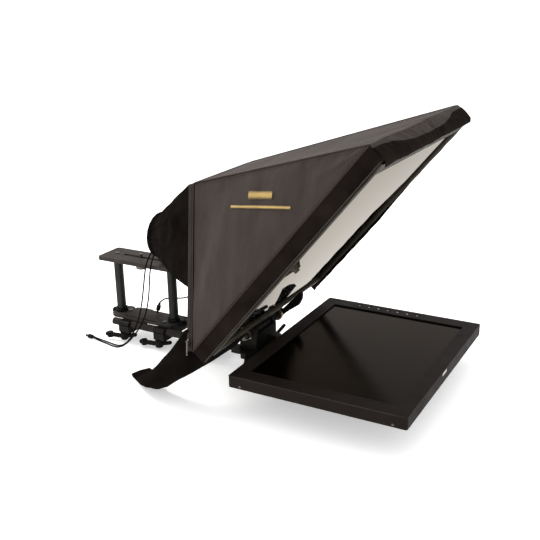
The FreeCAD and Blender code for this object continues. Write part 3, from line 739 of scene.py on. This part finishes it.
def rear_sock():
    """Velvet funnel from the zips and the hood's top edge to the lens; open below."""
    start, end = -FREE_ANGLE, pi + FREE_ANGLE

    def place(t, s):
        turn = start + (end - start) * t
        rim = V((COLLAR_HIGH[0] - 3 * MM, GATHER_RADIUS * cos(turn), LENS.z + GATHER_RADIUS * sin(turn)))
        point = sock_outline(t).lerp(rim, s)
        out = V((0.25, cos(turn), sin(turn))).normalized()
        belly = sin(pi * s)
        swell = (3.0 + 7.0 * abs(cos(turn))) * belly - 5.0 * belly * max(0.0, sin(turn))
        pleats = 2.6 * s * (1 - s) * 2.2 * sin(turn * 15 + 2.2 * wander(V((t * 6, s * 2, 0)), 1, 61))
        gather = 1.3 * s * s * sin(turn * 34 + 1.5 * wander(V((t * 9, 0, 0)), 1, 62))
        creases = 4.0 * belly * wander(V((t * 11, s * 4.5, 0)), 1, 63)
        creases += 2.0 * belly * wander(V((t * 26, s * 9, 0)), 1, 64)
        return point + out * ((swell + pleats + gather + creases) * MM)

    sock = grid("sock_cloth", 150, 60, place, PAINTS["sock_fabric"], "glass_frame")
    thicken(sock, 1.2 * MM, -1.0)
    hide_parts("rear_sock")


def sock_collar():
    """Gathered channel round the lens, with the elastic showing as a ridge."""
    half = (COLLAR_HIGH[0] - COLLAR_LOW[0]) / 2

    def place(p, q):
        turn, around = 2 * pi * p, 2 * pi * q
        gather = 1 + 0.14 * sin(turn * 38 + 1.2 * wander(V((cos(turn) * 3, sin(turn) * 3, 0)), 1, 71))
        size = 2.0 * MM * gather
        reach = GATHER_RADIUS + size * cos(around)
        depth = half * sin(around) * (1 + 0.03 * sin(turn * 19))
        return V((LENS.x + depth, reach * cos(turn), LENS.z + reach * sin(turn)))

    collar = grid("sock_collar_cloth", 228, 14, place, PAINTS["sock_fabric"], "glass_frame")
    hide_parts("sock_collar")


# ---------------------------------------------------------------- lower flap
def spline(points, t):
    """A smooth line through all the points, t from 0 to 1."""
    at = min(t, 0.9999) * (len(points) - 1)
    k = int(at)
    a, b = points[k], points[k + 1]
    before = points[k - 1] if k else a * 2 - b
    after = points[k + 2] if k + 2 < len(points) else b * 2 - a
    u = at - k
    return 0.5 * (2 * a + (b - before) * u + (2 * before - 5 * a + 4 * b - after) * u * u
                  + (3 * a - before - 3 * b + after) * u ** 3)


FLAP_REACH, FLAP_GIVE = -204 * MM, 24 * MM     # past the reach the cloth bulges less and less
TABLE_GAP = 1.5 * MM


def millimetres(*points):
    return [V(p) * MM for p in points]


FLAP_HEAD = millimetres((-41, -192, 141), (-12, -191, 127), (16, -186, 109), (18, -78, 110))
FLAP_REAR = millimetres((-41, -192, 141), (-61, -191, 116), (-80, -190, 91), (-104, -188, 65), (-128, -168, 38),
                        (-158, -140, 12), (-187, -118, 2))
FLAP_FRONT = millimetres((18, -78, 110), (6, -104, 86), (-12, -152, 73), (-31, -174, 60), (-57, -178, 42),
                         (-82, -178, 24), (-101, -177, 9), (-112, -171, 2))
FLAP_FOOT = millimetres((-187, -118, 2), (-196, -140, 2), (-199, -158, 2), (-174, -173, 2), (-150, -180, 2),
                        (-126, -180, 2), (-112, -171, 2))


def lower_flap():
    """Loose black cloth from the hood's foot and the bottom rail down to the table, where it spreads."""
    rear_head, front_head, rear_foot, front_foot = FLAP_HEAD[0], FLAP_HEAD[-1], FLAP_FOOT[0], FLAP_FOOT[-1]

    def place(p, q):
        between = spline(FLAP_HEAD, q).lerp(spline(FLAP_FOOT, q), p)
        across = spline(FLAP_REAR, p).lerp(spline(FLAP_FRONT, p), q)
        point = between + across - rear_head.lerp(front_head, q).lerp(rear_foot.lerp(front_foot, q), p)
        free = sin(pi * q) * sin(pi * min(1, p * 1.05))
        point.y += free * MM * (5 * sin(q * 8.5 + p * 2.2) + 4 * wander(V((p * 3, q * 6, 0)), 1, 81))
        point.y -= 9 * MM * exp(-((q - 0.62 + 0.1 * p) / 0.10) ** 2) * free
        point.z += 4 * MM * p * sin(pi * q) * max(0.0, wander(V((p * 7, q * 7, 0)), 1, 83) + 0.2)
        point.z = max(point.z, TABLE_GAP)
        if point.y < FLAP_REACH:
            point.y = FLAP_REACH - FLAP_GIVE * tanh((FLAP_REACH - point.y) / FLAP_GIVE)
        return point

    flap = grid("flap_cloth", 80, 60, place, PAINTS["sock_fabric"], "glass_frame")
    thicken(flap, 1.1 * MM, 0.0)
    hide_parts("lower_flap")


# ---------------------------------------------------------------- embroidery and print
BARS = ((0.0, 29 * MM, 7.2 * MM), (19 * MM, 72 * MM, 2.9 * MM))   # drop, half width, half height
THREAD_PITCH = 0.7 * MM


def embroidery(panels):
    """Two plain gold satin-stitch bars on each side panel."""
    for side in ("left", "right"):
        out = by_side(side, SIDE_OUT)
        along_top = V(((TOP - REAR).x, (TOP - REAR).y, 0)).normalized()
        level = by_side(side, (along_top - REARWARD).normalized())
        level = (level - out * level.dot(out)).normalized()
        down = level.cross(out)
        if down.z > 0:
            down = -down
        cloth = KDTree(len(panels[side].data.vertices))
        for vertex in panels[side].data.vertices:
            cloth.insert(vertex.co, vertex.index)
        cloth.balance()
        middle = by_side(side, REAR * 0.405 + TOP * 0.445 + LOW * 0.15) + out * 3.6 * MM
        for index, (drop, half_width, half_height) in enumerate(BARS):
            count = ceil(2 * half_width / THREAD_PITCH)
            spots = []
            for k in range(count):
                place = middle + level * (half_width * (2 * k / (count - 1) - 1)) + down * drop
                ground = cloth.find(place)[0]
                place += out * ((ground - place).dot(out) + 1.5 * MM)
                spots.append((place, down, out))
            beads("embroidery_%s_%d" % (side, index), spots, (2 * half_height, 1.0 * MM, 0.6 * MM),
                  GOLD_THREAD, "glass_frame")


def bezel_rim_highlights():
    """Painted highlight: lighter rims along the monitor case's top edges, where the edges catch the light."""
    low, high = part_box("monitor_bezel")
    inset = 0.55 * MM
    z = high[2] - inset
    near = [V((low[0] + inset, low[1] + inset, z)), V((high[0] - inset, low[1] + inset, z))]
    front = [near[1], V((high[0] - inset, high[1] - inset, z))]
    for name, ends in (("near", near), ("front", front)):
        # deck_finish is lighter than the case plastic, so these rims are a painted highlight
        piping("bezel_rim_highlight_" + name, line(*ends, 12), 0.7 * MM, PAINTS["deck_finish"], "bracket")


def side_print():
    """A plain pale bar in place of the mark on the monitor's front edge."""
    low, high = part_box("monitor_bezel")
    x, y, z = high[0] + 0.06 * MM, low[1] + 0.45 * (high[1] - low[1]), (low[2] + high[2]) / 2
    points = [V((x, y + 11 * MM * i, z + 2.6 * MM * j)) for i, j in ((-1, -1), (1, -1), (1, 1), (-1, 1))]
    add_mesh("side_print", points, [(0, 1, 2, 3)], PRINT, "bracket", smooth=False)


def key_marks():
    """A small pale shape printed below each key on the monitor's side."""
    points, faces = [], []
    for k in range(7):
        low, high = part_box("monitor_key_%d" % (k + 1))
        x, y, z = (low[0] + high[0]) / 2, low[1] - 4.2 * MM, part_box("monitor_bezel")[1][2] + 0.06 * MM
        size = (1.6 + 0.25 * (k % 3)) * MM
        start = len(points)
        for i, j in ((-1, -1), (1, -1), (1, 1), (-1, 1)):
            points.append(V((x + i * size, y + j * size * 0.8, z)))
        faces.append(tuple(range(start, start + 4)))
    add_mesh("key_marks", points, faces, PRINT, "bracket", smooth=False)


# ---------------------------------------------------------------- stage
FLOOR_REACH = 30.0              # from the middle to each side
FLOOR_GLOW = 0.42               # keeps the floor as pale as the surroundings
SKY_STRENGTH = 1.03


def add_stage():
    floor_mesh = bpy.data.meshes.new("floor")
    corners = [(FLOOR_REACH * i, FLOOR_REACH * j, 0) for i, j in ((-1, -1), (1, -1), (1, 1), (-1, 1))]
    floor_mesh.from_pydata(corners, [], [(0, 1, 2, 3)])
    floor = bpy.data.objects.new("floor", floor_mesh)
    bpy.context.collection.objects.link(floor)
    paint = Paint("floor_paint", (0.93, 0.93, 0.93), 0.9, specular=0.0)
    paint.set("Emission Color", (1, 1, 1, 1))
    paint.set("Emission Strength", FLOOR_GLOW)
    floor_mesh.materials.append(paint.material)
    world = bpy.data.worlds.new("studio")
    world.use_nodes = True
    background = world.node_tree.nodes["Background"]
    background.inputs["Color"].default_value = (1.0, 1.0, 1.0, 1)
    background.inputs["Strength"].default_value = SKY_STRENGTH
    bpy.context.scene.world = world


def add_light(name, place, target, size, power, tint=(1, 0.98, 0.95)):
    data = bpy.data.lights.new(name, "AREA")
    data.shape, data.size, data.energy, data.color = "DISK", size, power, tint
    light = bpy.data.objects.new(name, data)
    bpy.context.collection.objects.link(light)
    light.location = place
    light.rotation_euler = (V(target) - V(place)).to_track_quat("-Z", "Y").to_euler()


def add_lights():
    add_light("rear_softbox", (-0.95, 0.15, 1.35), (-0.05, 0, 0.3), 0.9, 19)
    add_light("top_softbox", (0.3, 0.1, 2.4), (0.1, 0, 0.2), 2.0, 4)


# ---------------------------------------------------------------- build
add_camera()
for cord_name in CORDS:
    add_cord(cord_name)
paint_cad_nodes()
side_panels = {side: hood_side(side) for side in ("left", "right")}
hood_top()
hood_hem()
hood_seams()
zips()
rear_sock()
sock_collar()
lower_flap()
embroidery(side_panels)
key_marks()
side_print()
bezel_rim_highlights()
add_stage()
add_lights()
bpy.context.scene.view_settings.view_transform = "Standard"
